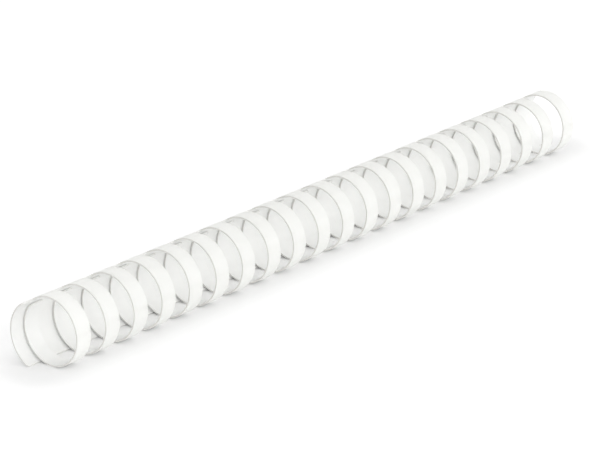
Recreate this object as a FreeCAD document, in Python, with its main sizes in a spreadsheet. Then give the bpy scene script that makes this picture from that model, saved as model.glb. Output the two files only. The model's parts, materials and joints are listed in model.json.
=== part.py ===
"""Plastic binding comb: a curved spine strip with a row of curled fingers that tuck in behind it.

The comb lies along X and rests on z = 0 on two lines: the lowest line of its fingers and the free lower
edge of its spine. +Y is the side of the spine and -Y the side where the fingers show.

Seen along X, the curled sheet is a spiral of two arcs. The spine and the tucked fingertips share one centre,
the comb's axis. The half turn that a finger makes over the top has its centre half a tuck inset away from
that axis, towards the root line, so it leaves the spine tangentially and passes tangentially into the lower
arc. Every sub-part is drawn in the same section frame: its origin is the comb's axis, its Y axis points at
the root line where the fingers leave the spine, and its Placement turns it into the resting position.

A finger bends along its whole length. It is divided at two flex lines half a turn apart: its root is one with
the spine up to the first, and its tip begins at the second.
"""
import FreeCAD, Part
import math
import os

import Sketcher

# Driving sizes, in millimetres and degrees, with what each one measures.
SIZES = (
    ("ring_diameter", 25.0, "outside diameter of the ring that a finger makes"),
    ("sheet_thickness", 0.6, "thickness of the plastic sheet"),
    ("tuck_clearance", 0.6, "gap between a tucked fingertip and the inside of the spine"),
    ("spine_arc_angle", 121.5, "turn of the spine from the root line to its free lower edge"),
    ("finger_count", 21, "number of fingers"),
    ("finger_pitch", 14.2875, "distance between the middles of two fingers"),
    ("finger_width", 6.8, "width of a finger"),
    ("end_overhang", 5.8, "length of spine beyond the last finger at each end"),
    ("slot_corner_radius", 1.0, "rounding where the side of a finger meets the spine"),
    ("flex_angle", 40.0, "turn of a finger's root from the root line to its first flex line"),
    ("spine_corner_radius", 1.2, "rounding of the four corners of the spine"),
    ("tip_gap_angle", 16.0, "turn left open between the end of a fingertip and the root line"),
    ("tip_flat", 4.4, "straight length across the end of a fingertip, between its rounded corners"),
)

# Sizes that follow from the driving ones.
WORKED_OUT = (
    ("tuck_inset", "=sheet_thickness + tuck_clearance"),
    ("arch_radius", "=ring_diameter / 2"),
    ("arch_offset", "=tuck_inset / 2"),
    ("spine_radius", "=arch_radius + arch_offset"),
    ("tip_radius", "=arch_radius - arch_offset"),
    ("slot_reach", "=arch_radius"),
    ("row_length", "=(finger_count - 1) * finger_pitch"),
    ("spine_length", "=row_length + finger_width + 2 * end_overhang"),
    ("tip_corner_radius", "=(finger_width - tip_flat) / 2"),
    ("rest_angle", "=asin(tip_radius / spine_radius)"),
    ("root_angle", "=spine_arc_angle * 1 deg - rest_angle"),
    ("axis_depth", "=(arch_radius - spine_radius - arch_offset * cos(root_angle)) / 2"),
    ("axis_height", "=tip_radius"),
)

# How near an edge must lie to a plane to be counted on it.
EDGE_TOLERANCE = 1e-4

# Sketcher's numbers for its own origin point, X axis, and the start, end and centre of an element.
ORIGIN = -1
X_AXIS = -1
START = 1
END = 2
CENTRE = 3

doc = FreeCAD.newDocument("binding_comb")
sheet = doc.addObject("Spreadsheet::Sheet", "sizes")


def fill_sheet():
    """Write the driving sizes as plain numbers and the others as formulas, each under its alias."""
    rows = [(name, str(value), note) for name, value, note in SIZES]
    rows += [(name, formula, "follows from the sizes above") for name, formula in WORKED_OUT]
    for row, (name, content, note) in enumerate(rows, start=1):
        sheet.set(f"A{row}", name)
        sheet.set(f"B{row}", content)
        sheet.set(f"C{row}", note)
        sheet.setAlias(f"B{row}", name)
    doc.recompute()


def size(name):
    """The present value of a cell, in millimetres, degrees or a plain count."""
    value = sheet.get(name)
    return getattr(value, "Value", value)


def origin_feature(body, role):
    """An origin plane or axis of a body."""
    return next(item for item in body.Origin.OriginFeatures if item.Role == role)


def new_sketch(body, name, plane):
    """An empty sketch on one of the body's own origin planes."""
    sketch = body.newObject("Sketcher::SketchObject", name)
    sketch.AttachmentSupport = [(origin_feature(body, plane), "")]
    sketch.MapMode = "FlatFace"
    return sketch


def point(x, y):
    """A point in a sketch."""
    return FreeCAD.Vector(x, y, 0)


def polar(centre_x, radius, degrees):
    """A point at a radius and angle about a centre on the sketch's X axis."""
    angle = math.radians(degrees)
    return point(centre_x + radius * math.cos(angle), radius * math.sin(angle))


def add_arc(sketch, centre, radius, first, last):
    """An arc about a centre, from one angle to another in degrees."""
    circle = Part.Circle(centre, FreeCAD.Vector(0, 0, 1), radius)
    return sketch.addGeometry(Part.ArcOfCircle(circle, math.radians(first), math.radians(last)))


def add_line(sketch, first, last):
    """A straight line from one point to another."""
    return sketch.addGeometry(Part.LineSegment(first, last))


def add_line_through(sketch, centre_x, radius, degrees):
    """A line through the sheet from its inside to its outside, at an angle about a centre on the X axis."""
    inside = polar(centre_x, radius - size("sheet_thickness"), degrees)
    return add_line(sketch, inside, polar(centre_x, radius, degrees))


def relate(sketch, kind, *elements):
    """A constraint that holds no size."""
    sketch.addConstraint(Sketcher.Constraint(kind, *elements))


def dimension(sketch, name, formula, kind, *elements):
    """A constraint bound to the sheet. Its elements end with the present value."""
    index = sketch.addConstraint(Sketcher.Constraint(kind, *elements))
    sketch.renameConstraint(index, name)
    sketch.setExpression(f"Constraints.{name}", formula)


def centre_on_axis(sketch, arc):
    """Put an arc's centre on the comb's axis."""
    relate(sketch, "Coincident", arc, CENTRE, ORIGIN, START)


def centre_off_axis(sketch, arc):
    """Put an arc's centre on the root line's radius, half a tuck inset from the comb's axis."""
    relate(sketch, "PointOnObject", arc, CENTRE, X_AXIS)
    dimension(sketch, "arch_offset", "sizes.arch_offset",
              "DistanceX", ORIGIN, START, arc, CENTRE, size("arch_offset"))


def spine_section(body):
    """The spine's arc from its free lower edge up to the root line, and on along the fingers' roots."""
    sketch = new_sketch(body, "spine_section", "YZ_Plane")
    thickness = size("sheet_thickness")
    offset = size("arch_offset")
    outer_radius = size("spine_radius")
    arch_radius = size("arch_radius")
    low = -size("spine_arc_angle")
    flex = size("flex_angle")
    outer = add_arc(sketch, point(0, 0), outer_radius, low, 0)
    inner = add_arc(sketch, point(0, 0), outer_radius - thickness, low, 0)
    root_outer = add_arc(sketch, point(offset, 0), arch_radius, 0, flex)
    root_inner = add_arc(sketch, point(offset, 0), arch_radius - thickness, 0, flex)
    lower_edge = add_line_through(sketch, 0, outer_radius, low)
    flex_line = add_line_through(sketch, offset, arch_radius, flex)

    centre_on_axis(sketch, outer)
    centre_on_axis(sketch, inner)
    centre_off_axis(sketch, root_outer)
    relate(sketch, "Coincident", root_inner, CENTRE, root_outer, CENTRE)
    relate(sketch, "Coincident", outer, END, root_outer, START)
    relate(sketch, "Coincident", inner, END, root_inner, START)
    relate(sketch, "Coincident", inner, START, lower_edge, START)
    relate(sketch, "Coincident", outer, START, lower_edge, END)
    relate(sketch, "Coincident", root_inner, END, flex_line, START)
    relate(sketch, "Coincident", root_outer, END, flex_line, END)
    relate(sketch, "PointOnObject", outer, END, X_AXIS)
    relate(sketch, "PointOnObject", inner, END, X_AXIS)
    relate(sketch, "PointOnObject", ORIGIN, START, lower_edge)
    relate(sketch, "PointOnObject", root_outer, CENTRE, flex_line)
    dimension(sketch, "outer_radius", "sizes.spine_radius", "Radius", outer, outer_radius)
    dimension(sketch, "inner_radius", "sizes.spine_radius - sizes.sheet_thickness",
              "Radius", inner, outer_radius - thickness)
    dimension(sketch, "lower_edge_angle", "-sizes.spine_arc_angle * 1 deg",
              "Angle", lower_edge, math.radians(low))
    dimension(sketch, "flex_line_angle", "sizes.flex_angle * 1 deg", "Angle", flex_line, math.radians(flex))
    return sketch


def finger_section(body):
    """The middle half turn of a finger: from its first flex line over the top and down to its second."""
    sketch = new_sketch(body, "finger_section", "YZ_Plane")
    thickness = size("sheet_thickness")
    offset = size("arch_offset")
    arch_radius = size("arch_radius")
    tip_radius = size("tip_radius")
    flex = size("flex_angle")
    arch_outer = add_arc(sketch, point(offset, 0), arch_radius, flex, 180)
    arch_inner = add_arc(sketch, point(offset, 0), arch_radius - thickness, flex, 180)
    lower_outer = add_arc(sketch, point(0, 0), tip_radius, 180, 180 + flex)
    lower_inner = add_arc(sketch, point(0, 0), tip_radius - thickness, 180, 180 + flex)
    first_flex = add_line_through(sketch, offset, arch_radius, flex)
    second_flex = add_line_through(sketch, 0, tip_radius, 180 + flex)

    centre_off_axis(sketch, arch_outer)
    relate(sketch, "Coincident", arch_inner, CENTRE, arch_outer, CENTRE)
    centre_on_axis(sketch, lower_outer)
    centre_on_axis(sketch, lower_inner)
    relate(sketch, "Coincident", arch_inner, START, first_flex, START)
    relate(sketch, "Coincident", arch_outer, START, first_flex, END)
    relate(sketch, "Coincident", arch_inner, END, lower_inner, START)
    relate(sketch, "Coincident", arch_outer, END, lower_outer, START)
    relate(sketch, "Coincident", lower_inner, END, second_flex, START)
    relate(sketch, "Coincident", lower_outer, END, second_flex, END)
    relate(sketch, "PointOnObject", arch_inner, END, X_AXIS)
    relate(sketch, "PointOnObject", arch_outer, END, X_AXIS)
    relate(sketch, "PointOnObject", arch_outer, CENTRE, first_flex)
    relate(sketch, "PointOnObject", ORIGIN, START, second_flex)
    dimension(sketch, "outer_radius", "sizes.arch_radius", "Radius", arch_outer, arch_radius)
    dimension(sketch, "inner_radius", "sizes.arch_radius - sizes.sheet_thickness",
              "Radius", arch_inner, arch_radius - thickness)
    dimension(sketch, "first_flex_angle", "sizes.flex_angle * 1 deg", "Angle", first_flex, math.radians(flex))
    dimension(sketch, "second_flex_angle", "(sizes.flex_angle - 180) * 1 deg",
              "Angle", second_flex, math.radians(flex - 180))
    return sketch


def fingertip_section(body):
    """The end of a finger: from its second flex line in past the spine's lower edge and up behind it."""
    sketch = new_sketch(body, "fingertip_section", "YZ_Plane")
    thickness = size("sheet_thickness")
    radius = size("tip_radius")
    flex = size("flex_angle")
    end_angle = -size("tip_gap_angle")
    outer = add_arc(sketch, point(0, 0), radius, 180 + flex, 360 + end_angle)
    inner = add_arc(sketch, point(0, 0), radius - thickness, 180 + flex, 360 + end_angle)
    second_flex = add_line_through(sketch, 0, radius, 180 + flex)
    tip = add_line_through(sketch, 0, radius, end_angle)

    centre_on_axis(sketch, outer)
    centre_on_axis(sketch, inner)
    relate(sketch, "Coincident", inner, START, second_flex, START)
    relate(sketch, "Coincident", outer, START, second_flex, END)
    relate(sketch, "Coincident", inner, END, tip, START)
    relate(sketch, "Coincident", outer, END, tip, END)
    relate(sketch, "PointOnObject", ORIGIN, START, second_flex)
    relate(sketch, "PointOnObject", ORIGIN, START, tip)
    dimension(sketch, "outer_radius", "sizes.tip_radius", "Radius", outer, radius)
    dimension(sketch, "inner_radius", "sizes.tip_radius - sizes.sheet_thickness",
              "Radius", inner, radius - thickness)
    dimension(sketch, "second_flex_angle", "(sizes.flex_angle - 180) * 1 deg",
              "Angle", second_flex, math.radians(flex - 180))
    dimension(sketch, "tip_angle", "-sizes.tip_gap_angle * 1 deg", "Angle", tip, math.radians(end_angle))
    return sketch


def slot_between_fingers(body):
    """The outline of the gap between the first two fingers: a base on the root line, and round corners."""
    sketch = new_sketch(body, "slot_outline", "XZ_Plane")
    left = (size("finger_width") - size("row_length")) / 2
    right = left + size("finger_pitch") - size("finger_width")
    top = size("slot_reach")
    radius = size("slot_corner_radius")
    base = add_line(sketch, point(left + radius, 0), point(right - radius, 0))
    right_corner = add_arc(sketch, point(right - radius, radius), radius, -90, 0)
    right_side = add_line(sketch, point(right, radius), point(right, top))
    mouth = add_line(sketch, point(right, top), point(left, top))
    left_side = add_line(sketch, point(left, top), point(left, radius))
    left_corner = add_arc(sketch, point(left + radius, radius), radius, 180, 270)

    relate(sketch, "PointOnObject", base, START, X_AXIS)
    relate(sketch, "PointOnObject", base, END, X_AXIS)
    relate(sketch, "Tangent", base, END, right_corner, START)
    relate(sketch, "Tangent", right_corner, END, right_side, START)
    relate(sketch, "Coincident", right_side, END, mouth, START)
    relate(sketch, "Coincident", mouth, END, left_side, START)
    relate(sketch, "Tangent", left_side, END, left_corner, START)
    relate(sketch, "Tangent", left_corner, END, base, START)
    relate(sketch, "Vertical", right_side)
    relate(sketch, "Vertical", left_side)
    relate(sketch, "Horizontal", mouth)
    relate(sketch, "Equal", left_corner, right_corner)
    dimension(sketch, "corner_radius", "sizes.slot_corner_radius", "Radius", left_corner, radius)
    dimension(sketch, "reach", "sizes.slot_reach", "DistanceY", ORIGIN, START, mouth, END, top)
    dimension(sketch, "left", "(sizes.finger_width - sizes.row_length) / 2",
              "DistanceX", ORIGIN, START, left_side, START, left)
    dimension(sketch, "width", "sizes.finger_pitch - sizes.finger_width",
              "DistanceX", left_side, START, right_side, END, right - left)
    return sketch


def end_slot(body):
    """The outline of the notch beyond the first finger, open at the end of the spine."""
    sketch = new_sketch(body, "end_slot_outline", "XZ_Plane")
    right = -(size("row_length") + size("finger_width")) / 2
    left = -size("spine_length") / 2
    top = size("slot_reach")
    radius = size("slot_corner_radius")
    base = add_line(sketch, point(left, 0), point(right - radius, 0))
    corner = add_arc(sketch, point(right - radius, radius), radius, -90, 0)
    side = add_line(sketch, point(right, radius), point(right, top))
    mouth = add_line(sketch, point(right, top), point(left, top))
    end = add_line(sketch, point(left, top), point(left, 0))

    relate(sketch, "PointOnObject", base, START, X_AXIS)
    relate(sketch, "PointOnObject", base, END, X_AXIS)
    relate(sketch, "Tangent", base, END, corner, START)
    relate(sketch, "Tangent", corner, END, side, START)
    relate(sketch, "Coincident", side, END, mouth, START)
    relate(sketch, "Coincident", mouth, END, end, START)
    relate(sketch, "Coincident", end, END, base, START)
    relate(sketch, "Vertical", side)
    relate(sketch, "Vertical", end)
    relate(sketch, "Horizontal", mouth)
    dimension(sketch, "corner_radius", "sizes.slot_corner_radius", "Radius", corner, radius)
    dimension(sketch, "reach", "sizes.slot_reach", "DistanceY", ORIGIN, START, mouth, END, top)
    dimension(sketch, "finger_side", "-(sizes.row_length + sizes.finger_width) / 2",
              "DistanceX", ORIGIN, START, side, END, right)
    dimension(sketch, "spine_end", "-sizes.spine_length / 2",
              "DistanceX", ORIGIN, START, end, START, left)
    return sketch


def pad(body, sketch, formula):
    """A pad of the sketch to both sides of its plane."""
    feature = body.newObject("PartDesign::Pad", sketch.Name + "_pad")
    feature.Profile = sketch
    feature.SideType = "Symmetric"
    feature.setExpression("Length", formula)
    return feature


def cut_outwards(body, sketch):
    """A pocket from the comb's axis out through the sheet on the root line's side."""
    feature = body.newObject("PartDesign::Pocket", sketch.Name + "_cut")
    feature.Profile = sketch
    feature.Type = "ThroughAll"
    return feature


def set_tip(body, feature):
    """Make a pattern or mirror the body's result."""
    body.Tip = feature
    doc.recompute()


def is_at_side(edge, distance):
    """Whether the middle of an edge lies at this distance along X from the middle of its sub-part."""
    return math.isclose(abs(edge.CenterOfMass.x), distance, abs_tol=EDGE_TOLERANCE)


def round_corners(body, feature, name, formula, chosen):
    """Round the sheet's corners: the short straight edges through its thickness that are chosen."""
    doc.recompute()
    names = [f"Edge{number}" for number, edge in enumerate(feature.Shape.Edges, start=1)
             if edge.Curve.TypeId == "Part::GeomLine" and chosen(edge)]
    fillet = body.newObject("PartDesign::Fillet", name)
    fillet.Base = (feature, names)
    fillet.setExpression("Radius", formula)
    return fillet


def lie_at_rest(sub_part, across):
    """Turn the section frame into the resting position and set the place along the comb."""
    along_the_comb = FreeCAD.Vector(1, 0, 0)
    sub_part.Placement.Rotation = FreeCAD.Rotation(along_the_comb, size("root_angle"))
    sub_part.setExpression("Placement.Base.x", across)
    sub_part.setExpression("Placement.Base.y", "sizes.axis_depth")
    sub_part.setExpression("Placement.Base.z", "sizes.axis_height")
    sub_part.setExpression("Placement.Rotation.Angle", "sizes.root_angle")


def place_along_row(number):
    """The middle of a finger along the comb, counted from the -X end."""
    return f"({number} - (sizes.finger_count + 1) / 2) * sizes.finger_pitch"


def make_spine():
    """The spine: a curved strip with the root of each finger along its upper edge."""
    body = doc.addObject("PartDesign::Body", "spine")
    pad(body, spine_section(body), "sizes.spine_length")

    slot = cut_outwards(body, slot_between_fingers(body))
    slots = body.newObject("PartDesign::LinearPattern", "slots")
    slots.Originals = [slot]
    slots.Direction = (origin_feature(body, "X_Axis"), [""])
    slots.setExpression("Length", "sizes.row_length - sizes.finger_pitch")
    slots.setExpression("Occurrences", "sizes.finger_count - 1")
    set_tip(body, slots)

    notch = cut_outwards(body, end_slot(body))
    notches = body.newObject("PartDesign::Mirrored", "end_notches")
    notches.Originals = [notch]
    notches.MirrorPlane = (origin_feature(body, "YZ_Plane"), [""])
    set_tip(body, notches)

    half_length = size("spine_length") / 2
    corners = round_corners(body, notches, "end_corners", "sizes.spine_corner_radius",
                            lambda edge: is_at_side(edge, half_length))
    set_tip(body, corners)
    lie_at_rest(body, "0")
    return body


def make_finger():
    """The first finger's middle half turn."""
    body = doc.addObject("PartDesign::Body", "finger_01")
    pad(body, finger_section(body), "sizes.finger_width")
    lie_at_rest(body, place_along_row(1))
    return body


def make_fingertip():
    """The first finger's tip, with its end rounded to slip through a punched hole."""
    body = doc.addObject("PartDesign::Body", "fingertip_01")
    strip = pad(body, fingertip_section(body), "sizes.finger_width")
    half_width = size("finger_width") / 2
    round_corners(body, strip, "rounded_end", "sizes.tip_corner_radius",
                  lambda edge: is_at_side(edge, half_width) and edge.CenterOfMass.y > 0)
    lie_at_rest(body, place_along_row(1))
    return body


def repeat_along_row(first, name):
    """Links to the first of a row for the others, each with a label and a place of its own."""
    row = [first]
    for number in range(2, int(size("finger_count")) + 1):
        link = doc.addObject("App::Link", f"{name}_{number:02d}")
        link.LinkedObject = first
        lie_at_rest(link, place_along_row(number))
        row.append(link)
    return row


def check_and_write(sub_parts):
    """Stop at any failed object, then write each sub-part to a file named by its label."""
    doc.recompute()
    for item in doc.Objects:
        if "Invalid" in item.State or "Error" in item.State:
            raise RuntimeError(f"{item.Label} failed: {item.State}")
        if item.TypeId == "Sketcher::SketchObject" and not item.FullyConstrained:
            raise RuntimeError(f"{item.Label} is not fully constrained")
    os.makedirs("parts", exist_ok=True)
    for item in sub_parts:
        if item.Shape.isNull() or not item.Shape.isValid() or len(item.Shape.Solids) != 1:
            raise RuntimeError(f"{item.Label} is not one valid solid")
    for item in sub_parts:
        item.Shape.exportStep(f"parts/{item.Label}.step")
    print(f"wrote {len(sub_parts)} sub-parts")


fill_sheet()
sub_parts = [make_spine()]
sub_parts += repeat_along_row(make_finger(), "finger")
sub_parts += repeat_along_row(make_fingertip(), "fingertip")
check_and_write(sub_parts)
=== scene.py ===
"""Plastic binding comb: one white PVC sheet, die-cut flat and curled into a spine strip with a row of fingers.

The sheet is drawn flat, as it's cut, and then curled, as it's made. A flat sheet lies in X (along the comb) and
Y (along a finger, with 0 at the slot floors, fingers on the plus side and the spine on the minus side), with its
outer face at Z = 0. A turn round a finger is measured from its root, at the slot floors.
"""
import json
import math

import bmesh
import bpy
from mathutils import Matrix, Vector


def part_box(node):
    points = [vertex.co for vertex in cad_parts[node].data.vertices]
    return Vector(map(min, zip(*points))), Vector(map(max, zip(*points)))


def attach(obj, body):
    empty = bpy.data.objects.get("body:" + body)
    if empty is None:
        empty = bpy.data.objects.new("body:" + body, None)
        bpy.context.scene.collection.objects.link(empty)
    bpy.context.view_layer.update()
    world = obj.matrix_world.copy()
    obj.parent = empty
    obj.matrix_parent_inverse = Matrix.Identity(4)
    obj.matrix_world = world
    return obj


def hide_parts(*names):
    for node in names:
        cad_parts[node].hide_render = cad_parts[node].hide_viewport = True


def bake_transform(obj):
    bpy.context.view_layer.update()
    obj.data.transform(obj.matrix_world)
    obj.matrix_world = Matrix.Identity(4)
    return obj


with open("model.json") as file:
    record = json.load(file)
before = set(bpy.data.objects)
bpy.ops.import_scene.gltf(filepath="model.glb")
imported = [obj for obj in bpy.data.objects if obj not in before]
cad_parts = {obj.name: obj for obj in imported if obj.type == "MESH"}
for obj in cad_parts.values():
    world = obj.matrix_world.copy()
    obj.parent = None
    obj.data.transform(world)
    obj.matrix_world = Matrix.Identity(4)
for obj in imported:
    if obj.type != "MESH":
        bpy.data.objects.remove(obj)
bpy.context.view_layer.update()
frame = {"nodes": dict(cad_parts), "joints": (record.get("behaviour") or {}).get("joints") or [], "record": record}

MM = 0.001
HAIR = 0.001 * MM

# The sheet. The spine goes SPINE_ARC round from the slot floors to its free edge. Cut rims are eased a little.
SHEET_THICKNESS = 0.6 * MM
SPINE_ARC = math.radians(121.5)
SLOT_CORNER = 1.0 * MM
SPINE_CORNER = 1.2 * MM
EDGE_ROUNDING = 0.07 * MM

# A finger flexes in two places, FLEX_TURN past its root and FLEX_TURN past its half turn. The bend of its tip is
# spread by FLEX_SPREAD to either side.
FLEX_TURN = math.radians(40)
FLEX_SPREAD = math.radians(60)

# A fingertip ends TIP_GAP short of a full turn, with a straight end of TIP_FLAT between two round corners. Past
# the half turn it curls on a radius larger by TIP_CLOSING, round a centre as far towards the root, so that a
# closed tip leans towards the spine.
TIP_GAP = math.radians(16)
TIP_FLAT = 4.4 * MM
TIP_CLOSING = 0.24 * MM

# Fineness of the sheet, and the angles from which an edge is a cut rim on the flat sheet and crisp once curled.
STEP_TURN = math.radians(2)
CORNER_STEPS = 6
TIP_STEPS = 8
ROUNDING_STEPS = 2
COLUMNS_ACROSS = 4
RIM_ANGLE = math.pi / 3
CRISP_ANGLE = math.radians(20)

# White PVC, and the share of light that it lets through on the spine, the arches and the tips.
SLOT = "white_pvc"
SHEET_WHITE = (0.935, 0.937, 0.925, 1.0)
CLOUD_WHITE = (0.95, 0.952, 0.941, 1.0)
THROUGH_WHITE = (0.975, 0.976, 0.966, 1.0)
# The cut faces' grey is partly a cut PVC edge's own look and partly painted shade on the sides of the fingers.
CUT_GREY_AND_SHADE = (0.74, 0.735, 0.705, 1.0)
END_CUT_SHADE_SHARE = 0.5
SHEET_ROUGHNESS = 0.4
STREAK_ROUGHNESS = 0.1
CUT_ROUGHNESS = 0.3
SPINE_THROUGH = 0.12
ARCH_THROUGH = 0.6
TIP_THROUGH = 0.05

# The floor, which is lifted to white by FLOOR_LIFT between these distances from the comb's middle line.
FLOOR_REACH = 6.0
FLOOR_WHITE = (0.93, 0.93, 0.93, 1.0)
FLOOR_LIFT = 0.18
LIFT_FROM = 5 * MM
LIFT_TO = 24 * MM

# The sky and the lamps, as name, direction from the comb, side and power.
PLAIN_WHITE = (1.0, 1.0, 1.0, 1.0)
SKY_LEVEL = 0.75
LAMP_DISTANCE = 6.0
LAMPS = (
    ("key", Vector((0.3, -0.92, 0.32)), 5.0, 146.0),
    ("fill", Vector((-0.6, -0.62, 0.4)), 6.0, 74.0),
    ("back", Vector((0.15, 0.85, 0.45)), 6.0, 54.0),
)

# The camera, at the photo's angle. It aims a little left of the comb's middle and above its axis.
CAMERA_AZIMUTH = math.radians(-51.2)
CAMERA_ELEVATION = math.radians(19.94)
CAMERA_DISTANCE = 1112.4 * MM
CAMERA_LENS = 182.75
SENSOR_WIDTH = 36
AIM_X = -13.5 * MM
AIM_ABOVE_AXIS = 0.9 * MM


def read_comb():
    """The comb's places and radii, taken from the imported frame."""
    joints = {joint["name"]: joint for joint in frame["joints"]}
    fingers = sorted(name for name in frame["nodes"] if name.startswith("finger_"))
    axis = Vector(frame["record"]["mounts"][0]["pos_m"])
    second_flex = Vector(joints["fingertip_01_flex"]["pos_m"])
    arm = Vector((0, second_flex.y - axis.y, second_flex.z - axis.z))
    spine_low, spine_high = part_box("spine")
    finger_low, finger_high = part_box(fingers[0])
    spine_radius = spine_high.y - axis.y
    tip_radius = arm.length
    return {
        "axis": axis,
        "root": math.atan2(arm.z, arm.y) - math.pi - FLEX_TURN,
        "spine_radius": spine_radius,
        "tip_radius": tip_radius + TIP_CLOSING,
        "arch_radius": (spine_radius + tip_radius) / 2,
        "arch_offset": (spine_radius - tip_radius) / 2,
        "finger_width": finger_high.x - finger_low.x,
        "spine_ends": (spine_low.x, spine_high.x),
        "numbers": [name.removeprefix("finger_") for name in fingers],
        "middles": [joints[f"{name}_flex"]["pos_m"][0] for name in fingers],
    }


comb = read_comb()
half_turn_length = math.pi * comb["arch_radius"]


def along_finger(turn):
    """The flat length from the slot floors to a place a given turn round a finger."""
    if turn <= math.pi:
        return turn * comb["arch_radius"]
    return half_turn_length + (turn - math.pi) * comb["tip_radius"]


class Tree:
    """A Geometry Nodes or shader tree, with short ways to add nodes."""

    def __init__(self, nodes, links):
        self.nodes = nodes
        self.links = links

    def put(self, value, socket):
        """Links an output to the socket, or sets the socket's own value."""
        if isinstance(value, bpy.types.NodeSocket):
            self.links.new(value, socket)
        else:
            socket.default_value = value

    def add(self, kind, inputs=None, **settings):
        """A node with its settings and its inputs by name or number."""
        node = self.nodes.new(kind)
        for name, value in settings.items():
            setattr(node, name, value)
        for name, value in (inputs or {}).items():
            self.put(value, node.inputs[name])
        return node

    def math(self, operation, *values):
        """The result of a sum on numbers or sockets."""
        node = self.add("ShaderNodeMath", dict(enumerate(values)), operation=operation)
        return node.outputs[0]

    def parts(self, vector):
        """The X, Y and Z of a vector, by name."""
        return self.add("ShaderNodeSeparateXYZ", {0: vector}).outputs

    def mix_colours(self, share, first, second):
        """A colour between two others."""
        return self.add("ShaderNodeMix", {0: share, 6: first, 7: second}, data_type="RGBA").outputs[2]

    def ramp(self, value, span, levels, **settings):
        """A value that goes from one level to another over a span."""
        node = self.add("ShaderNodeMapRange", {
            "Value": value,
            "From Min": span[0],
            "From Max": span[1],
            "To Min": levels[0],
            "To Max": levels[1],
        }, **settings)
        return node.outputs[0]

    def seen(self):
        """1 for what the camera sees, straight or in a reflection or through glass, and 0 for other light."""
        path = self.add("ShaderNodeLightPath").outputs
        indirect = self.math("MAXIMUM", path["Is Glossy Ray"], path["Is Transmission Ray"])
        return self.math("MAXIMUM", path["Is Camera Ray"], indirect)


def new_tree(name, inputs):
    """A Geometry Nodes tree with named inputs. Gives the tree, its builder, its inputs and its output node."""
    group = bpy.data.node_groups.new(name, "GeometryNodeTree")
    group.interface.new_socket("Geometry", in_out="INPUT", socket_type="NodeSocketGeometry")
    for label, kind in inputs.items():
        group.interface.new_socket(label, in_out="INPUT", socket_type=kind)
    group.interface.new_socket("Geometry", in_out="OUTPUT", socket_type="NodeSocketGeometry")
    tree = Tree(group.nodes, group.links)
    given = tree.add("NodeGroupInput").outputs
    result = tree.add("NodeGroupOutput")
    return group, tree, given, result


def shader_tree(owner):
    """The emptied shader tree of a material or a world."""
    owner.use_nodes = True
    owner.node_tree.nodes.clear()
    return Tree(owner.node_tree.nodes, owner.node_tree.links)


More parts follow.
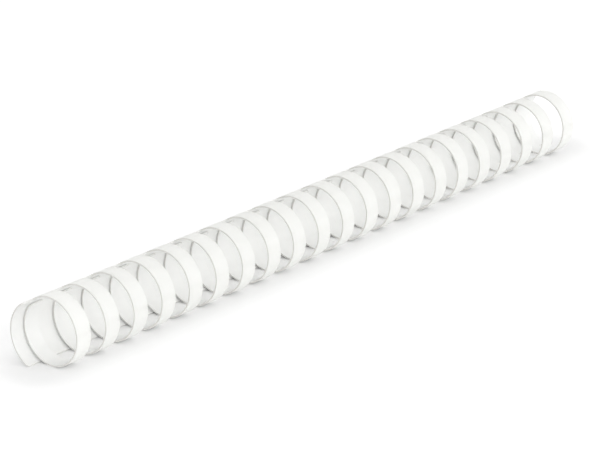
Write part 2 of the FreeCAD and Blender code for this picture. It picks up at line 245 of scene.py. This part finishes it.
def flat_strip_tree():
    """A flat strip of sheet from Start to End, with round corners at its end where Corner isn't 0."""
    group, tree, given, result = new_tree("flat_strip", {
        "Middle": "NodeSocketFloat",
        "Width": "NodeSocketFloat",
        "Thickness": "NodeSocketFloat",
        "Start": "NodeSocketFloat",
        "End": "NodeSocketFloat",
        "Corner": "NodeSocketFloat",
        "Corner share": "NodeSocketFloat",
        "Rows": "NodeSocketInt",
        "Columns": "NodeSocketInt",
    })
    grid = tree.add("GeometryNodeMeshGrid", {
        "Size X": 1.0,
        "Size Y": 1.0,
        "Vertices X": tree.math("ADD", given["Columns"], 1.0),
        "Vertices Y": tree.math("ADD", given["Rows"], 1.0),
    })

    # Rows of the grid spread along the straight part, then round the quarter turn of the two end corners.
    place = tree.parts(tree.add("GeometryNodeInputPosition").outputs[0])
    share = tree.math("ADD", place["Y"], 0.5)
    straight_share = tree.math("SUBTRACT", 1.0, given["Corner share"])
    straight = tree.math("MINIMUM", tree.math("DIVIDE", share, straight_share), 1.0)
    past = tree.math("MAXIMUM", tree.math("SUBTRACT", share, straight_share), 0.0)
    turn = tree.math("MULTIPLY", tree.math("DIVIDE", past, given["Corner share"]), math.pi / 2)
    straight_end = tree.math("SUBTRACT", given["End"], given["Corner"])
    straight_length = tree.math("SUBTRACT", straight_end, given["Start"])
    reach = tree.math("MULTIPLY_ADD", straight, straight_length, given["Start"])
    reach = tree.math("MULTIPLY_ADD", tree.math("SINE", turn), given["Corner"], reach)
    lost_share = tree.math("SUBTRACT", 1.0, tree.math("COSINE", turn))
    lost = tree.math("MULTIPLY", lost_share, given["Corner"])
    width = tree.math("MULTIPLY_ADD", lost, -2.0, given["Width"])
    across = tree.math("MULTIPLY_ADD", place["X"], width, given["Middle"])
    depth = tree.math("MULTIPLY", given["Thickness"], -1.0)
    inner = tree.add("GeometryNodeSetPosition", {
        "Geometry": grid.outputs["Mesh"],
        "Position": tree.add("ShaderNodeCombineXYZ", {0: across, 1: reach, 2: depth}).outputs[0],
    })
    outer = tree.add("GeometryNodeExtrudeMesh", {
        "Mesh": inner.outputs[0],
        "Offset": (0.0, 0.0, 1.0),
        "Offset Scale": given["Thickness"],
        "Individual": False,
    })
    back = tree.add("GeometryNodeFlipFaces", {"Mesh": inner.outputs[0]})
    both = tree.add("GeometryNodeJoinGeometry")
    tree.links.new(outer.outputs["Mesh"], both.inputs[0])
    tree.links.new(back.outputs[0], both.inputs[0])
    closed = tree.add("GeometryNodeMergeByDistance", {"Geometry": both.outputs[0], "Distance": HAIR})

    # The cut rims are marked for easing, and the ends where the sheet goes on into its neighbour aren't.
    ends = tree.add("GeometryNodeInputMeshEdgeVertices")
    first = tree.parts(ends.outputs["Position 1"])["Y"]
    second = tree.parts(ends.outputs["Position 2"])["Y"]
    angle = tree.add("GeometryNodeInputMeshEdgeAngle").outputs[0]
    bent = tree.math("GREATER_THAN", angle, RIM_ANGLE)
    past_start = tree.math("ADD", given["Start"], HAIR)
    off_start = tree.math("GREATER_THAN", tree.math("MAXIMUM", first, second), past_start)
    before_end = tree.math("SUBTRACT", given["End"], HAIR)
    off_end = tree.math("LESS_THAN", tree.math("MINIMUM", first, second), before_end)
    free_end = tree.math("GREATER_THAN", given["Corner"], 0.0)
    on_rim = tree.math("MULTIPLY", off_start, tree.math("MAXIMUM", off_end, free_end))
    marked = tree.add("GeometryNodeStoreNamedAttribute", {
        "Geometry": closed.outputs[0],
        "Name": "bevel_weight_edge",
        "Value": tree.math("MULTIPLY", bent, on_rim),
    }, data_type="FLOAT", domain="EDGE")
    tree.links.new(marked.outputs[0], result.inputs[0])
    return group


def curl_tree():
    """Curls a flat sheet round the comb's axis: the spine, the arch of a finger, then its tucked end."""
    group, tree, given, result = new_tree("curl_sheet", {
        "Axis": "NodeSocketVector",
        "Root": "NodeSocketFloat",
        "Arch radius": "NodeSocketFloat",
        "Arch offset": "NodeSocketFloat",
        "Tip offset": "NodeSocketFloat",
        "Material": "NodeSocketMaterial",
    })
    position = tree.add("GeometryNodeInputPosition").outputs[0]
    flat = tree.parts(position)
    length, height = flat["Y"], flat["Z"]

    # Cut faces stand upright on the flat sheet. They take a grey that is partly the cut PVC's own look and partly
    # painted shade; those at slot floors and ends count less than the long sides.
    facing = tree.parts(tree.add("GeometryNodeInputNormal").outputs[0])
    long_side = tree.math("ABSOLUTE", facing["X"])
    cut = tree.math("MULTIPLY_ADD", tree.math("ABSOLUTE", facing["Y"]), END_CUT_SHADE_SHARE, long_side)
    edged = tree.add("GeometryNodeStoreNamedAttribute", {
        "Geometry": given["Geometry"],
        "Name": "cut_edge_and_shade",
        "Value": cut,
    }, data_type="FLOAT", domain="FACE")
    placed = tree.add("GeometryNodeStoreNamedAttribute", {
        "Geometry": edged.outputs[0],
        "Name": "flat_place",
        "Value": position,
    }, data_type="FLOAT_VECTOR", domain="POINT")

    # The spine curls about the axis, and the arch and the tip about centres a little towards the root.
    spine_radius = tree.math("ADD", given["Arch radius"], given["Arch offset"])
    step_in = tree.math("SUBTRACT", given["Arch offset"], given["Tip offset"])
    tip_radius = tree.math("SUBTRACT", given["Arch radius"], step_in)
    half_turn = tree.math("MULTIPLY", given["Arch radius"], math.pi)
    in_spine = tree.math("LESS_THAN", length, 0.0)
    before_tip = tree.math("LESS_THAN", length, half_turn)
    spine_turn = tree.math("DIVIDE", tree.math("MINIMUM", length, 0.0), spine_radius)
    arch_length = tree.math("MINIMUM", tree.math("MAXIMUM", length, 0.0), half_turn)
    arch_turn = tree.math("DIVIDE", arch_length, given["Arch radius"])
    past = tree.math("MAXIMUM", tree.math("SUBTRACT", length, half_turn), 0.0)
    tip_turn = tree.math("DIVIDE", past, tip_radius)
    turn = tree.math("ADD", tree.math("ADD", spine_turn, arch_turn),
                     tree.math("ADD", tip_turn, given["Root"]))
    to_spine = tree.math("MULTIPLY", in_spine, given["Arch offset"])
    to_arch = tree.math("MULTIPLY", before_tip, step_in)
    radius = tree.math("ADD", tree.math("ADD", to_spine, to_arch),
                       tree.math("ADD", tip_radius, height))
    off_axis = tree.math("SUBTRACT", tree.math("ADD", to_arch, given["Tip offset"]), to_spine)
    axis = tree.parts(given["Axis"])
    across = []
    for ratio, start in (("COSINE", axis["Y"]), ("SINE", axis["Z"])):
        centre = tree.math("MULTIPLY_ADD", off_axis, tree.math(ratio, given["Root"]), start)
        across.append(tree.math("MULTIPLY_ADD", radius, tree.math(ratio, turn), centre))
    curled_place = tree.add("ShaderNodeCombineXYZ", {0: flat["X"], 1: across[0], 2: across[1]})
    bent = tree.add("GeometryNodeSetPosition", {
        "Geometry": placed.outputs[0],
        "Position": curled_place.outputs[0],
    })

    smooth = tree.add("GeometryNodeSetShadeSmooth", {"Geometry": bent.outputs[0]}, domain="FACE")
    angle = tree.add("GeometryNodeInputMeshEdgeAngle").outputs[0]
    crisp = tree.add("GeometryNodeSetShadeSmooth", {
        "Geometry": smooth.outputs[0],
        "Selection": tree.math("GREATER_THAN", angle, CRISP_ANGLE),
        "Shade Smooth": False,
    }, domain="EDGE")
    real = tree.add("GeometryNodeRealizeInstances", {"Geometry": crisp.outputs[0]})
    coloured = tree.add("GeometryNodeSetMaterial", {
        "Geometry": real.outputs[0],
        "Material": given["Material"],
    })
    tree.links.new(coloured.outputs[0], result.inputs[0])
    return group


TREES = {"strip": flat_strip_tree(), "curl": curl_tree()}


def set_inputs(modifier, group, values):
    """Puts values into the named inputs of a Geometry Nodes modifier."""
    modifier.node_group = group
    for item in group.interface.items_tree:
        if item.item_type == "SOCKET" and item.in_out == "INPUT" and item.name in values:
            modifier[item.identifier] = values[item.name]


def curled(name, flat_mesh, strip, material):
    """A finished piece: the flat mesh or strip with its cut rims eased, curled into place."""
    maker = bpy.data.objects.new(name + "_flat", flat_mesh)
    bpy.context.scene.collection.objects.link(maker)
    if strip:
        set_inputs(maker.modifiers.new("strip", "NODES"), TREES["strip"], strip)
    easing = maker.modifiers.new("easing", "BEVEL")
    easing.width = EDGE_ROUNDING
    easing.segments = ROUNDING_STEPS
    easing.limit_method = "WEIGHT"
    easing.use_clamp_overlap = False
    set_inputs(maker.modifiers.new("curl", "NODES"), TREES["curl"], {
        "Axis": comb["axis"],
        "Root": comb["root"],
        "Arch radius": comb["arch_radius"],
        "Arch offset": comb["arch_offset"],
        "Tip offset": TIP_CLOSING,
        "Material": material,
    })
    graph = bpy.context.evaluated_depsgraph_get()
    mesh = bpy.data.meshes.new_from_object(maker.evaluated_get(graph))
    mesh.name = name
    bpy.data.objects.remove(maker)
    piece = bpy.data.objects.new(name, mesh)
    bpy.context.scene.collection.objects.link(piece)
    return piece


def spine_columns():
    """The flat spine's lines across its length, as (x, lowest y, highest y)."""
    arc_length = SPINE_ARC * comb["spine_radius"]
    left, right = comb["spine_ends"]
    half_width = comb["finger_width"] / 2
    quarter = [math.pi / 2 * step / CORNER_STEPS for step in range(CORNER_STEPS + 1)]
    lines = []
    for turn in quarter:
        lost = SPINE_CORNER * (1 - math.sin(turn))
        lines.append((left + SPINE_CORNER * (1 - math.cos(turn)), lost - arc_length, -lost))
    for middle in comb["middles"]:
        side = middle - half_width
        for turn in quarter:
            x = side - SLOT_CORNER * (1 - math.sin(turn))
            lines.append((x, -arc_length, SLOT_CORNER * (1 - math.cos(turn))))
        for step in range(1, COLUMNS_ACROSS):
            x = side + comb["finger_width"] * step / COLUMNS_ACROSS
            lines.append((x, -arc_length, SLOT_CORNER))
        side = middle + half_width
        for turn in reversed(quarter):
            x = side + SLOT_CORNER * (1 - math.sin(turn))
            lines.append((x, -arc_length, SLOT_CORNER * (1 - math.cos(turn))))
    for turn in reversed(quarter):
        lost = SPINE_CORNER * (1 - math.sin(turn))
        lines.append((right - SPINE_CORNER * (1 - math.cos(turn)), lost - arc_length, -lost))
    return lines


def flat_spine():
    """The spine as a flat sheet, with the root of each finger up to the top of its slot corners."""
    rows = math.ceil(SPINE_ARC / STEP_TURN)
    sheet = bmesh.new()
    grid = []
    for x, low, high in spine_columns():
        grid.append([sheet.verts.new((x, low + (high - low) * row / rows, -SHEET_THICKNESS))
                     for row in range(rows + 1)])
    for before, after in zip(grid, grid[1:]):
        for row in range(rows):
            sheet.faces.new((before[row], after[row], after[row + 1], before[row + 1]))
    grown = bmesh.ops.extrude_face_region(sheet, geom=sheet.faces[:], use_keep_orig=True)
    outer = [item for item in grown["geom"] if isinstance(item, bmesh.types.BMVert)]
    bmesh.ops.translate(sheet, verts=outer, vec=(0, 0, SHEET_THICKNESS))
    bmesh.ops.recalc_face_normals(sheet, faces=sheet.faces)
    weight = sheet.edges.layers.float.new("bevel_weight_edge")
    seam = SLOT_CORNER - HAIR
    for edge in sheet.edges:
        at_seam = all(vertex.co.y > seam for vertex in edge.verts)
        if edge.calc_face_angle(0) > RIM_ANGLE and not at_seam:
            edge[weight] = 1
    mesh = bpy.data.meshes.new("flat_spine")
    sheet.to_mesh(mesh)
    sheet.free()
    return mesh


def light_through(tree, along):
    """The share of light that the sheet lets through, by the place along a finger on the flat sheet."""
    past_spine = tree.ramp(along, (-2 * MM, 1 * MM), (SPINE_THROUGH, ARCH_THROUGH))
    tip_span = (half_turn_length - 4 * MM, half_turn_length + 6 * MM)
    in_tip = tree.ramp(along, tip_span, (0.0, ARCH_THROUGH - TIP_THROUGH),
                       interpolation_type="SMOOTHSTEP")
    return tree.math("SUBTRACT", past_spine, in_tip)


def make_white_pvc():
    """Glossy white sheet with faint rolled streaks, a little rougher on its die-cut edges and greyer there, partly
    as painted shade.
    """
    material = bpy.data.materials.new(SLOT)
    tree = shader_tree(material)
    flat = tree.add("ShaderNodeAttribute", attribute_name="flat_place").outputs["Vector"]
    edge = tree.add("ShaderNodeAttribute", attribute_name="cut_edge_and_shade").outputs["Fac"]
    streaked = tree.add("ShaderNodeMapping", {"Vector": flat, "Scale": (1.0, 0.06, 1.0)}).outputs[0]
    streaks = tree.add("ShaderNodeTexNoise", {
        "Vector": streaked,
        "Scale": 1400.0,
        "Detail": 3.0,
        "Roughness": 0.55,
    }).outputs["Fac"]
    clouds = tree.add("ShaderNodeTexNoise", {
        "Vector": flat,
        "Scale": 45.0,
        "Detail": 2.0,
        "Roughness": 0.5,
    }).outputs["Fac"]
    sheet_colour = tree.mix_colours(clouds, SHEET_WHITE, CLOUD_WHITE)
    uneven = tree.math("SUBTRACT", streaks, 0.5)
    worn = tree.math("MULTIPLY_ADD", uneven, STREAK_ROUGHNESS, SHEET_ROUGHNESS)
    bump = tree.add("ShaderNodeBump", {"Height": streaks, "Strength": 0.03, "Distance": 0.01 * MM})
    # The cut faces are mixed towards a grey that is partly painted shade.
    surface = tree.add("ShaderNodeBsdfPrincipled", {
        "Base Color": tree.mix_colours(edge, sheet_colour, CUT_GREY_AND_SHADE),
        "Roughness": tree.math("MULTIPLY_ADD", edge, CUT_ROUGHNESS, worn),
        "Normal": bump.outputs[0],
        "IOR": 1.53,
    })
    through = tree.add("ShaderNodeBsdfTranslucent", {"Color": THROUGH_WHITE})
    sheet_share = tree.math("SUBTRACT", 1.0, edge)
    thinness = tree.math("MULTIPLY", light_through(tree, tree.parts(flat)["Y"]), sheet_share)
    thin = tree.add("ShaderNodeMixShader", {0: thinness, 1: surface.outputs[0], 2: through.outputs[0]})
    output = tree.add("ShaderNodeOutputMaterial")
    tree.links.new(thin.outputs[0], output.inputs["Surface"])
    return material


def make_floor():
    """A plain white floor that keeps the comb's shadow and reads as white to the camera."""
    mesh = bpy.data.meshes.new("floor")
    corners = [(-FLOOR_REACH, -FLOOR_REACH, 0), (FLOOR_REACH, -FLOOR_REACH, 0),
               (FLOOR_REACH, FLOOR_REACH, 0), (-FLOOR_REACH, FLOOR_REACH, 0)]
    mesh.from_pydata(corners, [], [(0, 1, 2, 3)])
    floor = bpy.data.objects.new("floor", mesh)
    bpy.context.scene.collection.objects.link(floor)
    material = bpy.data.materials.new("white_floor")
    tree = shader_tree(material)
    place = tree.parts(tree.add("ShaderNodeTexCoord").outputs["Object"])
    from_middle = tree.math("ABSOLUTE", place["X"])
    past_end = tree.math("MAXIMUM", tree.math("SUBTRACT", from_middle, comb["spine_ends"][1]), 0.0)
    squares = tree.math("ADD", tree.math("POWER", past_end, 2.0), tree.math("POWER", place["Y"], 2.0))
    aside = tree.math("SQRT", squares)
    away = tree.ramp(aside, (LIFT_FROM, LIFT_TO), (0.0, FLOOR_LIFT), interpolation_type="SMOOTHSTEP")
    paint = tree.add("ShaderNodeBsdfDiffuse", {"Color": FLOOR_WHITE})
    lift = tree.add("ShaderNodeEmission", {
        "Color": PLAIN_WHITE,
        "Strength": tree.math("MULTIPLY", tree.seen(), away),
    })
    both = tree.add("ShaderNodeAddShader", {0: paint.outputs[0], 1: lift.outputs[0]})
    output = tree.add("ShaderNodeOutputMaterial")
    tree.links.new(both.outputs[0], output.inputs["Surface"])
    mesh.materials.append(material)


def add_area_light(name, direction, side, power):
    """A soft square lamp that looks at the comb's middle from a direction."""
    lamp = bpy.data.lights.new(name, "AREA")
    lamp.size = side
    lamp.energy = power
    holder = bpy.data.objects.new(name, lamp)
    holder.location = comb["axis"] + direction.normalized() * LAMP_DISTANCE
    holder.rotation_euler = direction.to_track_quat("Z", "Y").to_euler()
    bpy.context.scene.collection.objects.link(holder)


def light_studio():
    """An even sky that the camera sees as plain white, and large soft lamps at the front and the back."""
    world = bpy.data.worlds.new("studio")
    bpy.context.scene.world = world
    tree = shader_tree(world)
    strength = tree.math("MULTIPLY_ADD", tree.seen(), 1 - SKY_LEVEL, SKY_LEVEL)
    sky = tree.add("ShaderNodeBackground", {"Color": PLAIN_WHITE, "Strength": strength})
    output = tree.add("ShaderNodeOutputWorld")
    tree.links.new(sky.outputs[0], output.inputs["Surface"])
    for name, direction, side, power in LAMPS:
        add_area_light(name, direction, side, power)


def place_camera():
    """The camera at the photo's angle, with its long lens."""
    target = Vector((AIM_X, comb["axis"].y, comb["axis"].z + AIM_ABOVE_AXIS))
    level = math.cos(CAMERA_ELEVATION)
    back = Vector((math.sin(CAMERA_AZIMUTH) * level, -math.cos(CAMERA_AZIMUTH) * level,
                   math.sin(CAMERA_ELEVATION)))
    lens = bpy.data.cameras.new("camera")
    lens.sensor_width = SENSOR_WIDTH
    lens.lens = CAMERA_LENS
    lens.clip_start, lens.clip_end = 0.01, 50
    camera = bpy.data.objects.new("camera", lens)
    camera.location = target + back * CAMERA_DISTANCE
    camera.rotation_euler = (-back).to_track_quat("-Z", "Y").to_euler()
    bpy.context.scene.collection.objects.link(camera)
    bpy.context.scene.camera = camera


def flat_strip(middle, start, end, corner):
    """The inputs of one strip between two lengths along a finger, with end corners where corner isn't 0."""
    rows = round((end - start) / comb["arch_radius"] / STEP_TURN)
    return {
        "Middle": middle,
        "Width": comb["finger_width"],
        "Thickness": SHEET_THICKNESS,
        "Start": start,
        "End": end,
        "Corner": corner,
        "Corner share": TIP_STEPS / (rows + TIP_STEPS) if corner else 0.0,
        "Rows": rows + TIP_STEPS if corner else rows,
        "Columns": COLUMNS_ACROSS,
    }


def make_finger(number, middle, material):
    """One finger in two strips: its arch, which goes on from the spine, and its tip, which goes on from its arch.
    """
    root_turn = SLOT_CORNER / comb["arch_radius"]
    arch_end = 2 * FLEX_TURN - root_turn
    tip_flex = math.pi + FLEX_TURN
    tip_start, tip_end = tip_flex - FLEX_SPREAD, tip_flex + FLEX_SPREAD
    finger_end = 2 * math.pi - TIP_GAP
    seam = (arch_end + tip_start) / 2
    empty = bpy.data.meshes.new("flat")

    arch_strip = flat_strip(middle, SLOT_CORNER, along_finger(seam), 0.0)
    arch = curled(f"finger_{number}_arch", empty, arch_strip, material)
    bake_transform(arch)
    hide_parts(f"finger_{number}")

    corner = (comb["finger_width"] - TIP_FLAT) / 2
    tip_strip = flat_strip(middle, along_finger(seam), along_finger(finger_end), corner)
    tip = curled(f"finger_{number}_tip", empty, tip_strip, material)
    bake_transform(tip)
    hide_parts(f"fingertip_{number}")


white_pvc = make_white_pvc()
spine = curled("spine_strip", flat_spine(), None, white_pvc)
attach(spine, "spine")
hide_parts("spine")
for number, middle in zip(comb["numbers"], comb["middles"]):
    make_finger(number, middle, white_pvc)
make_floor()
light_studio()
place_camera()
bpy.context.scene.view_settings.view_transform = "Standard"
